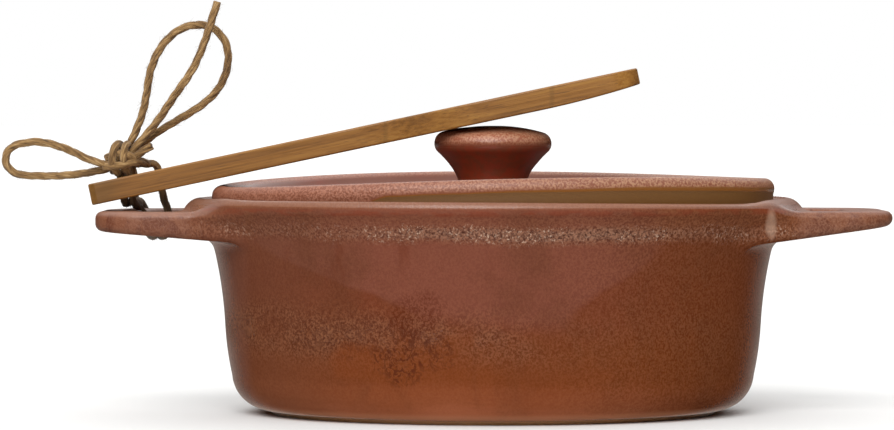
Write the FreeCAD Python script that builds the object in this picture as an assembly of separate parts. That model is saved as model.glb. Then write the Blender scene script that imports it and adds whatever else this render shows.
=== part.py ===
import FreeCAD, Part
import math
import os

Vector = FreeCAD.Vector

# Frame: millimetres, +Z up, +X along the dish's length, origin under its middle
# on the surface that it stands on.

# Every oval is drawn along its length and narrowed across by this ratio.
OVAL_RATIO = 0.755

# Dish outline: (half length along X, height) of each point. A BEND is a point
# that the arc to the next point runs through.
FOOT_INNER_HALF = 77.0
FOOT_OUTER_HALF = 85.0
FOOT_RECESS_Z = 1.2
FOOT_TRIM_DEPTH = 2.0
WALL_FOOT = (86.6, 1.5)
WALL_LOW_BEND = (95.8, 5.6)
WALL_LOW = (100.0, 14.8)
WALL_BELLY_BEND = (101.65, 24.0)
WALL_BELLY = (102.6, 34.0)
WALL_HIGH_BEND = (103.95, 48.0)
WALL_HIGH = (107.5, 66.0)
LIP_UNDER_BEND = (109.4, 71.6)
LIP_UNDER = (112.2, 76.2)
LIP_BEND = (115.2, 78.8)
LIP_CREST = (112.2, 81.6)
LIP_INNER_BEND = (109.4, 80.8)
LIP_INNER = (108.6, 79.0)
LEDGE_Z = 77.0
LEDGE_EDGE = (104.2, LEDGE_Z)
LEDGE_EDGE_BEND = (103.0, 76.5)
CAVITY_TOP = (102.6, 75.4)
CAVITY_BEND = (98.2, 46.0)
CAVITY_LOW = (95.0, 21.0)
CAVITY_LOW_BEND = (91.0, 11.2)
FLOOR_HALF = 81.0
FLOOR_Z = 7.0

# Lid, which rests on the ledge inside the rim.
LID_GAP = 0.35
LID_INSIDE = (94.0, 79.0)
LID_INSIDE_FOOT_HALF = 97.0
LID_SEAT_HALF = 107.4
LID_EDGE = (107.7, 85.4)
LID_EDGE_BEND = (106.9, 87.7)
LID_CREST = (104.2, 88.7)
LID_CREST_BEND = (101.7, 88.3)
LID_RIM_INNER = (99.5, 87.1)
LID_RECESS_BEND = (95.6, 84.8)
LID_RECESS = (91.0, 84.0)
LID_PAD_HALF = 22.0
LID_PAD_Z = 85.6
LID_TRIM_DEPTH = 3.0
LID_SLANT = 0.0131

# Knob: (radius, height) from its base to its crown.
KNOB_BASE_RADIUS = 15.2
KNOB_BASE_BEND = (13.7, 87.2)
KNOB_NECK = (13.3, 89.0)
KNOB_NECK_BEND = (14.5, 92.0)
KNOB_THROAT = (16.4, 94.8)
KNOB_THROAT_BEND = (18.6, 97.4)
KNOB_UNDER = (21.0, 99.8)
KNOB_UNDER_BEND = (22.1, 101.2)
KNOB_WIDEST = (22.5, 103.0)
KNOB_SHOULDER_BEND = (21.6, 105.8)
KNOB_SHOULDER = (18.9, 107.5)
KNOB_DOME_BEND = (9.6, 109.4)
KNOB_TOP_Z = 109.9

# Loop handles. The two differ a little, as handmade ones do.
HANDLE_ROOT = 84.0
HANDLE_ROOT_HALF_WIDTH = 44.0
HANDLE_TIP_HALF_WIDTH = 33.0
HANDLE_CORNER_RADIUS = 19.0
HANDLE_HOLE_NEAR = 118.0
HANDLE_HOLE_FAR = 134.0
HANDLE_HOLE_HALF_WIDTH = 21.0
HANDLE_BLANK_LOW = 40.0
HANDLE_BLANK_HEIGHT = 60.0
LEFT_HANDLE = {
    "reach": 151.2,
    "tip_low": 70.1,
    "root_low": 65.0,
    "top": 77.5,
    "edge_round": 3.2,
}
RIGHT_HANDLE = {
    "reach": 151.6,
    "tip_low": 72.2,
    "root_low": 63.3,
    "top": 77.7,
    "edge_round": 2.5,
}

# Spatula: its own lengths, then where its lower heel stands and how far it leans.
SPATULA_LENGTH = 213.9
SPATULA_THICKNESS = 8.2
SPATULA_GRIP_HALF_WIDTH = 10.0
SPATULA_GRIP_LENGTH = 96.0
SPATULA_BLADE_HALF_WIDTH = 22.0
SPATULA_BLADE_START = 162.0
SPATULA_FLARE_EASE = 31.0
SPATULA_BLADE_CORNER = 12.0
SPATULA_HEEL_CORNER = 2.5
SPATULA_BEVEL_START = 178.0
SPATULA_BEVEL_RISE = 2.1
SPATULA_BEVEL_SAG = 0.28
SPATULA_EDGE_ROUND = 0.7
SPATULA_HOLE_RADIUS = 4.2
SPATULA_HOLE_PLACE = 13.4
SPATULA_HEEL_X = -152.9
SPATULA_HEEL_Z = 79.6
SPATULA_LEAN_DEGREES = 11.97

# Jute twine, one length tied in a bow.
TWINE_DIAMETER = 2.8
KNOT_CENTRE = Vector(-142.3, 0.0, 96.7)
KNOT_RADIUS = 5.7
ARC_SHARE = 0.45
ROUTES = {
    "twine_loop_left": [
        (-144.6, -1.4, 94.2),
        (-153.5, -2.0, 96.1),
        (-163.0, -3.0, 101.4),
        (-173.5, -4.0, 104.2),
        (-182.7, -4.4, 102.9),
        (-186.4, -4.0, 99.4),
        (-186.4, -3.0, 94.8),
        (-182.7, -1.8, 91.2),
        (-173.5, -0.2, 90.6),
        (-162.0, 1.0, 90.9),
        (-152.0, 1.9, 92.4),
        (-144.4, 1.8, 94.4),
    ],
    "twine_loop_upper": [
        (-141.6, 1.2, 98.6),
        (-136.2, 1.6, 108.6),
        (-132.8, 1.0, 120.3),
        (-131.6, 0.4, 131.2),
        (-126.8, 0.0, 141.4),
        (-118.8, 0.2, 148.2),
        (-108.8, 0.8, 148.9),
        (-102.4, 1.8, 143.2),
        (-101.0, 2.6, 134.5),
        (-104.2, 3.2, 125.0),
        (-110.9, 3.4, 118.2),
        (-122.2, 3.0, 111.4),
        (-131.4, 2.2, 105.9),
        (-138.0, 0.8, 99.8),
    ],
    "twine_long_end": [
        (-139.4, -1.6, 98.6),
        (-133.7, -2.7, 105.2),
        (-127.5, -3.2, 112.6),
        (-121.7, -4.2, 121.5),
        (-115.4, -5.2, 130.0),
        (-111.0, -5.6, 139.0),
        (-108.0, -5.8, 148.2),
        (-105.2, -5.6, 157.2),
    ],
    "twine_short_end": [
        (-138.2, -3.0, 97.2),
        (-134.8, -4.2, 99.8),
        (-130.4, -4.6, 102.4),
    ],
    "twine_lashing_near": [
        (-138.4, 2.4, 95.4),
        (-134.0, 6.2, 95.2),
        (-130.0, 10.8, 95.4),
        (-128.6, 13.6, 91.0),
        (-128.0, 15.6, 83.6),
        (-125.6, 18.4, 76.4),
        (-125.6, 18.2, 70.4),
        (-126.8, 20.8, 66.4),
        (-128.6, 27.0, 65.6),
        (-130.0, 33.2, 65.8),
        (-131.0, 37.2, 69.8),
        (-132.0, 37.0, 75.6),
        (-133.6, 33.4, 80.4),
        (-137.8, 25.2, 80.8),
        (-140.9, 13.4, 80.0),
        (-141.4, 3.8, 79.9),
        (-141.3, -0.2, 83.8),
        (-142.9, 0.2, 91.6),
    ],
    "twine_lashing_far": [
        (-139.7, -0.3, 91.6),
        (-138.4, -0.8, 84.4),
        (-137.6, 3.2, 80.4),
        (-135.0, 8.8, 79.1),
        (-131.6, 13.6, 75.8),
        (-130.0, 17.0, 70.8),
        (-130.6, 20.8, 66.2),
        (-132.2, 27.0, 65.4),
        (-133.8, 33.4, 65.8),
        (-135.2, 37.4, 70.2),
        (-136.2, 38.2, 76.8),
        (-136.8, 35.2, 83.4),
        (-137.2, 25.6, 87.0),
        (-137.8, 16.4, 90.8),
        (-139.8, 10.8, 96.2),
        (-141.8, 4.4, 97.2),
    ],
}


def outline(start, *steps):
    """Closed XZ wire. A step is an end point, or an arc's middle and end points."""
    edges = []
    here = Vector(start[0], 0, start[1])
    for step in steps + (start,):
        there = Vector(step[-2], 0, step[-1])
        if len(step) == 4:
            middle = Vector(step[0], 0, step[1])
            edges.append(Part.Arc(here, middle, there).toShape())
        elif here.distanceToPoint(there) > 1e-6:
            edges.append(Part.LineSegment(here, there).toShape())
        here = there
    return Part.Wire(edges)


def turned(wire):
    """Round solid turned from an XZ wire about the Z axis."""
    return Part.Face(wire).revolve(Vector(0, 0, 0), Vector(0, 0, 1), 360)


def turned_oval(wire):
    """Oval solid: a turned one narrowed across its width."""
    squeeze = FreeCAD.Matrix()
    squeeze.scale(1.0, OVAL_RATIO, 1.0)
    return turned(wire).transformGeometry(squeeze)


def cut_below(solid, height):
    """The solid with a flat level face, where all of it below a height is cut off."""
    reach = 300
    corner = Vector(-reach / 2, -reach / 2, height - reach)
    return solid.cut(Part.makeBox(reach, reach, reach, corner))


def dish_outside():
    """The dish's outer line, from the recess in its foot to the crest of the lip."""
    return [
        (FOOT_INNER_HALF - FOOT_RECESS_Z, FOOT_RECESS_Z),
        (FOOT_INNER_HALF, 0.0),
        (FOOT_INNER_HALF, -FOOT_TRIM_DEPTH),
        (FOOT_OUTER_HALF, -FOOT_TRIM_DEPTH),
        (FOOT_OUTER_HALF, FOOT_RECESS_Z),
        WALL_FOOT,
        WALL_LOW_BEND + WALL_LOW,
        WALL_BELLY_BEND + WALL_BELLY,
        WALL_HIGH_BEND + WALL_HIGH,
        LIP_UNDER_BEND + LIP_UNDER,
        LIP_BEND + LIP_CREST,
    ]


def dish_body():
    """Oval bowl with a flat foot, a rolled lip and a ledge inside the rim."""
    inside = [
        LIP_INNER_BEND + LIP_INNER,
        (LIP_INNER[0], LEDGE_Z),
        LEDGE_EDGE,
        LEDGE_EDGE_BEND + CAVITY_TOP,
        CAVITY_BEND + CAVITY_LOW,
        CAVITY_LOW_BEND + (FLOOR_HALF, FLOOR_Z),
        (0.0, FLOOR_Z),
    ]
    bowl = turned_oval(outline((0.0, FOOT_RECESS_Z), *dish_outside(), *inside))
    return cut_below(bowl, 0.0)


def dish_block():
    """The dish without its hollow, which trims the handles' roots."""
    return turned_oval(
        outline((0.0, FOOT_RECESS_Z), *dish_outside(), (0.0, LIP_CREST[1]))
    )


def handle_plan(reach):
    """Handle seen from above: straight flanks and a rounded tip."""
    bend = HANDLE_CORNER_RADIUS
    slant = bend * (1 - math.cos(math.pi / 4))
    flank = HANDLE_TIP_HALF_WIDTH
    points = [
        Vector(HANDLE_ROOT, -HANDLE_ROOT_HALF_WIDTH, 0),
        Vector(reach - bend, -flank, 0),
        Vector(reach - slant, -flank + slant, 0),
        Vector(reach, -flank + bend, 0),
        Vector(reach, flank - bend, 0),
        Vector(reach - slant, flank - slant, 0),
        Vector(reach - bend, flank, 0),
        Vector(HANDLE_ROOT, HANDLE_ROOT_HALF_WIDTH, 0),
    ]
    edges = [
        Part.LineSegment(points[0], points[1]).toShape(),
        Part.Arc(points[1], points[2], points[3]).toShape(),
        Part.LineSegment(points[3], points[4]).toShape(),
        Part.Arc(points[4], points[5], points[6]).toShape(),
        Part.LineSegment(points[6], points[7]).toShape(),
        Part.LineSegment(points[7], points[0]).toShape(),
    ]
    return Part.Face(Part.Wire(edges))


def finger_hole():
    """Long hole across the handle, with round ends, from far below to far above."""
    radius = (HANDLE_HOLE_FAR - HANDLE_HOLE_NEAR) / 2
    middle = (HANDLE_HOLE_FAR + HANDLE_HOLE_NEAR) / 2
    straight = HANDLE_HOLE_HALF_WIDTH - radius
    low = HANDLE_BLANK_LOW
    height = HANDLE_BLANK_HEIGHT
    hole = Part.makeBox(
        2 * radius, 2 * straight, height, Vector(middle - radius, -straight, low)
    )
    for side in (-1, 1):
        end = Part.makeCylinder(radius, height, Vector(middle, side * straight, low))
        hole = hole.fuse(end)
    return hole.removeSplitter()


def handle(size):
    """Loop handle on the +X side, thicker towards the wall."""
    past_tip = size["reach"] + 1
    side_view = outline(
        (HANDLE_ROOT, size["root_low"]),
        (past_tip, size["tip_low"]),
        (past_tip, size["top"]),
        (HANDLE_ROOT, size["top"]),
    )
    width = 3 * HANDLE_ROOT_HALF_WIDTH
    slab = Part.Face(side_view).extrude(Vector(0, width, 0))
    slab.translate(Vector(0, -width / 2, 0))
    plan = handle_plan(size["reach"]).extrude(Vector(0, 0, HANDLE_BLANK_HEIGHT))
    plan.translate(Vector(0, 0, HANDLE_BLANK_LOW))
    solid = slab.common(plan).cut(finger_hole())
    thickness = size["top"] - size["root_low"]
    long_edges = [
        edge
        for edge in solid.Edges
        if edge.BoundBox.XMax > HANDLE_ROOT + 1 and edge.BoundBox.ZLength < thickness / 2
    ]
    solid = solid.makeFillet(size["edge_round"], long_edges)
    return solid.cut(dish_block()).Solids


def outer_piece(solids):
    """The piece of a trimmed handle that lies outside the dish."""
    return max(solids, key=lambda solid: abs(solid.BoundBox.XMax))


def handle_right():
    return outer_piece(handle(RIGHT_HANDLE))


def handle_left():
    return outer_piece(handle(LEFT_HANDLE)).mirror(Vector(0, 0, 0), Vector(1, 0, 0))


def slanted(solid):
    """The solid with its heights raised towards +X, upright lines kept upright."""
    slant = FreeCAD.Matrix()
    slant.A31 = LID_SLANT
    return solid.transformGeometry(slant)


def lid():
    """Oval lid: level seat, then a body that slants up a little towards +X."""
    seat_z = LEDGE_Z + LID_GAP
    low_z = seat_z - LID_TRIM_DEPTH
    blank = turned_oval(
        outline(
            (0.0, LID_INSIDE[1]),
            LID_INSIDE,
            (LID_INSIDE_FOOT_HALF, low_z),
            (LID_SEAT_HALF, low_z),
            LID_EDGE,
            LID_EDGE_BEND + LID_CREST,
            LID_CREST_BEND + LID_RIM_INNER,
            LID_RECESS_BEND + LID_RECESS,
            (LID_PAD_HALF, LID_PAD_Z),
            (0.0, LID_PAD_Z),
        )
    )
    return cut_below(slanted(blank), seat_z)


def lid_knob():
    """Round mushroom knob, slanted as the pad under it is."""
    return slanted(
        turned(
            outline(
                (0.0, LID_PAD_Z),
                (KNOB_BASE_RADIUS, LID_PAD_Z),
                KNOB_BASE_BEND + KNOB_NECK,
                KNOB_NECK_BEND + KNOB_THROAT,
                KNOB_THROAT_BEND + KNOB_UNDER,
                KNOB_UNDER_BEND + KNOB_WIDEST,
                KNOB_SHOULDER_BEND + KNOB_SHOULDER,
                KNOB_DOME_BEND + (0.0, KNOB_TOP_Z),
            )
        )
    )


def spatula_plan():
    """Spatula seen from above, heel at X = 0."""
    grip = SPATULA_GRIP_HALF_WIDTH
    blade = SPATULA_BLADE_HALF_WIDTH
    heel = SPATULA_HEEL_CORNER
    near_tip = SPATULA_LENGTH - SPATULA_BLADE_CORNER
    inner = blade - SPATULA_BLADE_CORNER
    sides = []
    for side in (-1, 1):
        flare = Part.BezierCurve()
        flare.setPoles(
            [
                Vector(SPATULA_GRIP_LENGTH, side * grip, 0),
                Vector(SPATULA_GRIP_LENGTH + SPATULA_FLARE_EASE, side * grip, 0),
                Vector(SPATULA_BLADE_START - SPATULA_FLARE_EASE, side * blade, 0),
                Vector(SPATULA_BLADE_START, side * blade, 0),
            ]
        )
        tip_middle = SPATULA_BLADE_CORNER * math.sqrt(0.5)
        sides.append(
            [
                Part.LineSegment(
                    Vector(0, side * (grip - heel), 0), Vector(heel, side * grip, 0)
                ).toShape(),
                Part.LineSegment(
                    Vector(heel, side * grip, 0),
                    Vector(SPATULA_GRIP_LENGTH, side * grip, 0),
                ).toShape(),
                flare.toShape(),
                Part.LineSegment(
                    Vector(SPATULA_BLADE_START, side * blade, 0),
                    Vector(near_tip, side * blade, 0),
                ).toShape(),
                Part.Arc(
                    Vector(near_tip, side * blade, 0),
                    Vector(near_tip + tip_middle, side * (inner + tip_middle), 0),
                    Vector(SPATULA_LENGTH, side * inner, 0),
                ).toShape(),
            ]
        )
    ends = [
        Part.LineSegment(
            Vector(0, -grip + heel, 0), Vector(0, grip - heel, 0)
        ).toShape(),
        Part.LineSegment(
            Vector(SPATULA_LENGTH, -inner, 0), Vector(SPATULA_LENGTH, inner, 0)
        ).toShape(),
    ]
    edges = Part.sortEdges(sides[0] + sides[1] + ends)[0]
    return Part.Face(Part.Wire(edges))


def spatula():
    """Bamboo spatula with a hanging hole, leaning from the handle onto the knob."""
    blank = spatula_plan().extrude(Vector(0, 0, SPATULA_THICKNESS))
    bevel_middle = (SPATULA_BEVEL_START + SPATULA_LENGTH) / 2
    past_tip = SPATULA_LENGTH + 1
    side_view = outline(
        (-1.0, 0.0),
        (SPATULA_BEVEL_START, 0.0),
        (
            bevel_middle,
            SPATULA_BEVEL_SAG * SPATULA_BEVEL_RISE,
            past_tip,
            SPATULA_BEVEL_RISE,
        ),
        (past_tip, SPATULA_THICKNESS),
        (-1.0, SPATULA_THICKNESS),
    )
    width = 3 * SPATULA_BLADE_HALF_WIDTH
    slab = Part.Face(side_view).extrude(Vector(0, width, 0))
    slab.translate(Vector(0, -width / 2, 0))
    solid = blank.common(slab)
    long_edges = [
        edge for edge in solid.Edges if edge.BoundBox.ZLength < SPATULA_THICKNESS / 2
    ]
    solid = solid.makeFillet(SPATULA_EDGE_ROUND, long_edges)
    hole = Part.makeCylinder(
        SPATULA_HOLE_RADIUS,
        3 * SPATULA_THICKNESS,
        Vector(SPATULA_HOLE_PLACE, 0, -SPATULA_THICKNESS),
    )
    solid = solid.cut(hole)
    solid.rotate(Vector(0, 0, 0), Vector(0, -1, 0), SPATULA_LEAN_DEGREES)
    solid.translate(Vector(SPATULA_HEEL_X, 0, SPATULA_HEEL_Z))
    return solid


def twine_path(name, points):
    """Straight runs joined by tangent arcs, as large as the runs allow."""
    points = [Vector(*point) for point in points]
    edges = []
    radii = []
    here = points[0]
    for before, corner, after in zip(points, points[1:], points[2:]):
        arriving = (corner - before).normalize()
        leaving = (after - corner).normalize()
        half_turn = arriving.getAngle(leaving) / 2
        shorter = min(before.distanceToPoint(corner), corner.distanceToPoint(after))
        radius = ARC_SHARE * shorter / math.tan(half_turn)
        start = corner - arriving * (ARC_SHARE * shorter)
        end = corner + leaving * (ARC_SHARE * shorter)
        inward = (leaving - arriving).normalize()
        middle = corner + inward * (radius / math.cos(half_turn) - radius)
        edges.append(Part.LineSegment(here, start).toShape())
        edges.append(Part.Arc(start, middle, end).toShape())
        radii.append(radius)
        here = end
    edges.append(Part.LineSegment(here, points[-1]).toShape())
    rounded = " ".join(f"{radius:.1f}" for radius in radii)
    print(f"{name}: radii {rounded}")
    return Part.Wire(edges)


def twine(name):
    """Plain tube along one stretch of the twine."""
    path = twine_path(name, ROUTES[name])
    first, second = (Vector(*point) for point in ROUTES[name][:2])
    section = Part.Wire(
        Part.Circle(first, second - first, TWINE_DIAMETER / 2).toShape()
    )
    solid = path.makePipeShell([section], True, True)
    expected = path.Length * math.pi * TWINE_DIAMETER**2 / 4
    print(
        f"{name}: length {path.Length:.1f}, volume {solid.Volume / expected:.4f} "
        f"of section times length, lowest {solid.BoundBox.ZMin:.1f}"
    )
    return solid


def twine_knot():
    return Part.makeSphere(KNOT_RADIUS, KNOT_CENTRE)


def main():
    os.makedirs("parts", exist_ok=True)
    nodes = {
        "dish_body": dish_body(),
        "handle_left": handle_left(),
        "handle_right": handle_right(),
        "lid": lid(),
        "lid_knob": lid_knob(),
        "spatula": spatula(),
        "twine_knot": twine_knot(),
    }
    for name in ROUTES:
        nodes[name] = twine(name)
    for name, shape in nodes.items():
        box = shape.BoundBox
        print(
            f"{name}: valid {shape.isValid()}, {len(shape.Solids)} solid, "
            f"x {box.XMin:.1f}..{box.XMax:.1f}, y {box.YMin:.1f}..{box.YMax:.1f}, "
            f"z {box.ZMin:.1f}..{box.ZMax:.1f}, {shape.Volume / 1000:.1f} cm3"
        )
        shape.exportStep(f"parts/{name}.step")


main()
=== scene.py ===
import math

import bpy
import numpy as np
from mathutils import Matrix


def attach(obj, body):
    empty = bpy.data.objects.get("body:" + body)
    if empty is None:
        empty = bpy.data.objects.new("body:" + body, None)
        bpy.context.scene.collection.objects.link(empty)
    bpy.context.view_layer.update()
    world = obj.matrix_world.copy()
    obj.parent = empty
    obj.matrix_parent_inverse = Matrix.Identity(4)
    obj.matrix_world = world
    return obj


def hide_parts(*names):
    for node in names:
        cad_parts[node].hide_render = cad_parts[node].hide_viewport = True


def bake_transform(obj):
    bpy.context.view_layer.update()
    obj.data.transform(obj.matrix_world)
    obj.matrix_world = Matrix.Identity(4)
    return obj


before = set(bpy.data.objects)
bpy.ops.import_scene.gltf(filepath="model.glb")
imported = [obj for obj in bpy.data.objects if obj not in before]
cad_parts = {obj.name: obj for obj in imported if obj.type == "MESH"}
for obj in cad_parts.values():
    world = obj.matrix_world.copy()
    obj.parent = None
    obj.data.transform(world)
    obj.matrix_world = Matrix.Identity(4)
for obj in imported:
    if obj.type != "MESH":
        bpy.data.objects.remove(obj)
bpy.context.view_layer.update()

import openvdb
from mathutils import Vector

MM = 0.001

# ---------------------------------------------------------------- camera

CAMERA_DISTANCE = 1500 * MM
CAMERA_HEIGHT = 115 * MM
CAMERA_SIDE = -17.6 * MM
CAMERA_DOWN = math.radians(1.5)
CAMERA_LENS = 157.6
CAMERA_SENSOR = 36


def make_camera():
    data = bpy.data.cameras.new("camera")
    data.lens = CAMERA_LENS
    data.sensor_width = CAMERA_SENSOR
    data.clip_start = 0.05
    data.clip_end = 50
    camera = bpy.data.objects.new("camera", data)
    camera.location = (CAMERA_SIDE, -CAMERA_DISTANCE, CAMERA_HEIGHT)
    camera.rotation_euler = (math.radians(90) - CAMERA_DOWN, 0, 0)
    bpy.context.scene.collection.objects.link(camera)
    bpy.context.scene.camera = camera


# ---------------------------------------------------------------- shader helpers


class Nodes:
    """Short words for building the node tree of a material or world."""

    def __init__(self, owner, shader="Principled BSDF", place="Object"):
        owner.use_nodes = True
        self.tree = owner.node_tree
        self.shader = self.tree.nodes[shader]
        self.place = self.new("ShaderNodeTexCoord").outputs[place]

    def new(self, kind, **settings):
        node = self.tree.nodes.new(kind)
        for key, value in settings.items():
            setattr(node, key, value)
        return node

    def feed(self, socket, value):
        if isinstance(value, bpy.types.NodeSocket):
            self.tree.links.new(value, socket)
        elif value is not None:
            socket.default_value = value

    def math(self, operation, a, b=None, c=None):
        node = self.new("ShaderNodeMath", operation=operation)
        for socket, value in zip(node.inputs, (a, b, c)):
            self.feed(socket, value)
        return node.outputs[0]

    def chain(self, operation, values):
        """One operation over any number of values, from left to right."""
        result = values[0]
        for value in values[1:]:
            result = self.math(operation, result, value)
        return result

    def times(self, *values):
        return self.chain("MULTIPLY", values)

    def total(self, *values):
        return self.chain("ADD", values)

    def most(self, *values):
        return self.chain("MAXIMUM", values)

    def split(self, vector):
        node = self.new("ShaderNodeSeparateXYZ")
        self.feed(node.inputs[0], vector)
        return node.outputs

    def mapped(self, scale=(1, 1, 1), rotation=(0, 0, 0), place=None):
        node = self.new("ShaderNodeMapping")
        self.feed(node.inputs["Vector"], place or self.place)
        node.inputs["Scale"].default_value = scale
        node.inputs["Rotation"].default_value = rotation
        return node.outputs[0]

    def noise(self, vector, scale, detail=3.0, rough=0.55, distortion=0.0):
        node = self.new("ShaderNodeTexNoise")
        self.feed(node.inputs["Vector"], vector)
        node.inputs["Scale"].default_value = scale
        node.inputs["Detail"].default_value = detail
        node.inputs["Roughness"].default_value = rough
        node.inputs["Distortion"].default_value = distortion
        return node.outputs["Fac"]

    def range(self, value, low, high, to_low=0.0, to_high=1.0):
        node = self.new("ShaderNodeMapRange", interpolation_type="SMOOTHSTEP")
        self.feed(node.inputs["Value"], value)
        node.inputs["From Min"].default_value = low
        node.inputs["From Max"].default_value = high
        node.inputs["To Min"].default_value = to_low
        node.inputs["To Max"].default_value = to_high
        return node.outputs[0]

    def ramp(self, value, stops):
        node = self.new("ShaderNodeValToRGB")
        self.feed(node.inputs["Fac"], value)
        elements = node.color_ramp.elements
        while len(elements) < len(stops):
            elements.new(0.5)
        for element, (place, colour) in zip(elements, stops):
            element.position = place
            element.color = (*colour, 1)
        return node.outputs["Color"]

    def mix(self, factor, a, b):
        node = self.new("ShaderNodeMix", data_type="RGBA")
        self.feed(node.inputs["Factor"], factor)
        for name, value in (("A", a), ("B", b)):
            socket = [s for s in node.inputs if s.name == name and s.type == "RGBA"][0]
            self.feed(socket, (*value, 1) if isinstance(value, tuple) else value)
        return [s for s in node.outputs if s.type == "RGBA"][0]

    def tint(self, base, colour, where, amount):
        """A colour laid over the base, as strong as where x amount."""
        return self.mix(self.times(where, amount), base, colour)

    def bump(self, height, distance, strength, under=None):
        node = self.new("ShaderNodeBump")
        node.inputs["Strength"].default_value = strength
        node.inputs["Distance"].default_value = distance
        self.feed(node.inputs["Height"], height)
        self.feed(node.inputs["Normal"], under)
        return node.outputs[0]


# ---------------------------------------------------------------- glaze

# Roughness where the glaze is glossy and where it is dry, and depths of its relief.
GLAZE_ROUGHNESS = (0.17, 0.46)
GLAZE_IOR = 1.5
PEEL_DEPTH = 0.4 * MM
CRYSTAL_DEPTH = 0.10 * MM

# Colours of the dish's wall.
RED_BROWN = (0.155, 0.036, 0.013)
MAUVE = (0.185, 0.056, 0.034)
ORANGE_BROWN = (0.175, 0.040, 0.009)
DARK_BROWN = (0.085, 0.026, 0.010)
RIGHT_PAINTED_SHADE = (0.108, 0.023, 0.003)
LEFT_PAINTED_SHADE = (0.112, 0.042, 0.022)
STREAK_RED = (0.19, 0.036, 0.015)
RUN_RED = (0.115, 0.021, 0.006)
CLOUD_RED = (0.090, 0.016, 0.005)
WORM_RED = (0.080, 0.018, 0.007)

# The wall's colour from the foot, at 0, to the rim, at 1. The lightest tones near the foot are
# partly glaze colour and partly painted light from the floor.
WALL_TOP = 82 * MM
WALL_TONES = [
    (0.00, (0.44, 0.140, 0.066)),
    (0.09, (0.25, 0.067, 0.024)),
    (0.20, ORANGE_BROWN),
    (0.34, (0.165, 0.038, 0.009)),
    (0.46, RED_BROWN),
    (0.66, (0.150, 0.034, 0.014)),
    (0.84, (0.165, 0.044, 0.019)),
    (0.93, (0.250, 0.088, 0.043)),
]

# Crystals that float on the glaze, and the gaps between them.
TAN = (0.30, 0.135, 0.075)
DULL_TAN = (0.235, 0.090, 0.040)
CRYSTAL_GAP = (0.062, 0.015, 0.006)
FROST = (0.50, 0.33, 0.235)
PINK = (0.46, 0.20, 0.125)
OLIVE_TAN = (0.48, 0.27, 0.15)
FINE_GRAIN = 0.42 * MM
COARSE_GRAIN = 0.70 * MM
FROST_GRAIN = 0.45 * MM
LID_GRAIN = 0.40 * MM

# Handles, lip and foot.
SALMON = (0.185, 0.057, 0.023)
HANDLE_BROWN = (0.125, 0.030, 0.011)
CREST_HIGHLIGHT_PINK = (0.34, 0.175, 0.120)
LIP_SALMON = (0.22, 0.082, 0.040)
PAINTED_LIGHT_PINK = (0.46, 0.20, 0.105)
FOOT_CLAY = (0.62, 0.33, 0.16)

# The lid.
DEEP_RED = (0.225, 0.024, 0.004)
NECK_BROWN = (0.170, 0.030, 0.008)
RECESS_MAUVE = (0.145, 0.052, 0.032)
RIM_SALMON = (0.215, 0.068, 0.033)
CROWN_SALMON = (0.30, 0.088, 0.040)
AMBER = (0.21, 0.078, 0.014)
BARE_CLAY = (0.19, 0.086, 0.021)
SHADED_CLAY = (0.18, 0.080, 0.015)

# Bands round the dish and the knob: lowest and highest height.
LOWER_BAND = (24 * MM, 40 * MM)
RUN_BAND = (54 * MM, 68 * MM)
SHOULDER_BAND = (68.2 * MM, 73.4 * MM)
UPPER_BAND = (73 * MM, 78 * MM)
STREAK_BAND = (77.2 * MM, 79.4 * MM)
KNOB_NECK = (88 * MM, 102 * MM)

# Fades along X: a colour is absent at the first place and full at the second.
RIGHT_END = (30 * MM, 80 * MM)
LEFT_END = (-35 * MM, -85 * MM)
LEFT_ROOT = (-90 * MM, -94 * MM)
HANDLE = (110 * MM, 118 * MM)
LEFT_CREST_HIGHLIGHT = (-100 * MM, -118 * MM)

# Fades by height on the dish, read in the same way.
CREST_HIGHLIGHT_HEIGHTS = (75.3 * MM, 76.8 * MM)
LIP = (79.4 * MM, 81.0 * MM)
PAINTED_LIGHT_EDGE = (5 * MM, 1.8 * MM)
FOOT = (1.6 * MM, 1.2 * MM)

# Fades by height on the lid, and then two by distance from its middle.
LID_RIM = (83.7 * MM, 85.2 * MM)
UNDERSIDE = (82.5 * MM, 81.5 * MM)
CROWN = (102.0 * MM, 105.5 * MM)
LID_OUTER = (99 * MM, 102.5 * MM)
NECK_REACH = (60 * MM, 40 * MM)

# Patches on the front wall: centre (x, z), then half sizes. All are glaze except the root glint,
# which is a painted highlight.
BLOTCH = ((-31 * MM, 25 * MM), (16 * MM, 11 * MM))
LESSER_BLOTCH = ((-60 * MM, 33 * MM), (40 * MM, 9 * MM))
CLEAR_PATCH = ((-50 * MM, 24 * MM), (11 * MM, 9 * MM))
DARK_CLOUD = ((-28 * MM, 41 * MM), (12 * MM, 9 * MM))
ROOT_PAINTED_GLINT = ((103.5 * MM, 73 * MM), (2.4 * MM, 6 * MM))

# How strongly noise breaks up the edge of a patch.
RAGGED = 2.4


def speckle(n, size, low=0.42, high=0.58):
    """Dense fine crystals of about a given size, from 0 in the gaps to 1."""
    return n.range(n.noise(n.mapped((1, 1, 0.85)), 0.55 / size, 2.0, 0.6, 0.2), low, high)


def wandering(n, value, noise, reach):
    """A value pushed up and down by noise, so that what follows it wanders."""
    return n.math("MULTIPLY_ADD", n.math("SUBTRACT", noise, 0.5), reach, value)


def blob(n, x, z, centre, radius):
    """Soft patch on the front wall, ragged at its edge."""
    dx = n.math("DIVIDE", n.math("SUBTRACT", x, centre[0]), radius[0])
    dz = n.math("DIVIDE", n.math("SUBTRACT", z, centre[1]), radius[1])
    far = n.total(n.times(dx, dx), n.times(dz, dz))
    far = wandering(n, far, n.noise(n.place, 90, 4.0, 0.65), RAGGED)
    return n.range(far, 1.3, 0.1)


def band(n, level, low, high, soft):
    """1 between two heights, fading out over a soft margin."""
    up = n.range(level, low - soft, low + soft)
    return n.times(up, n.range(level, high + soft, high - soft))


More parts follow.
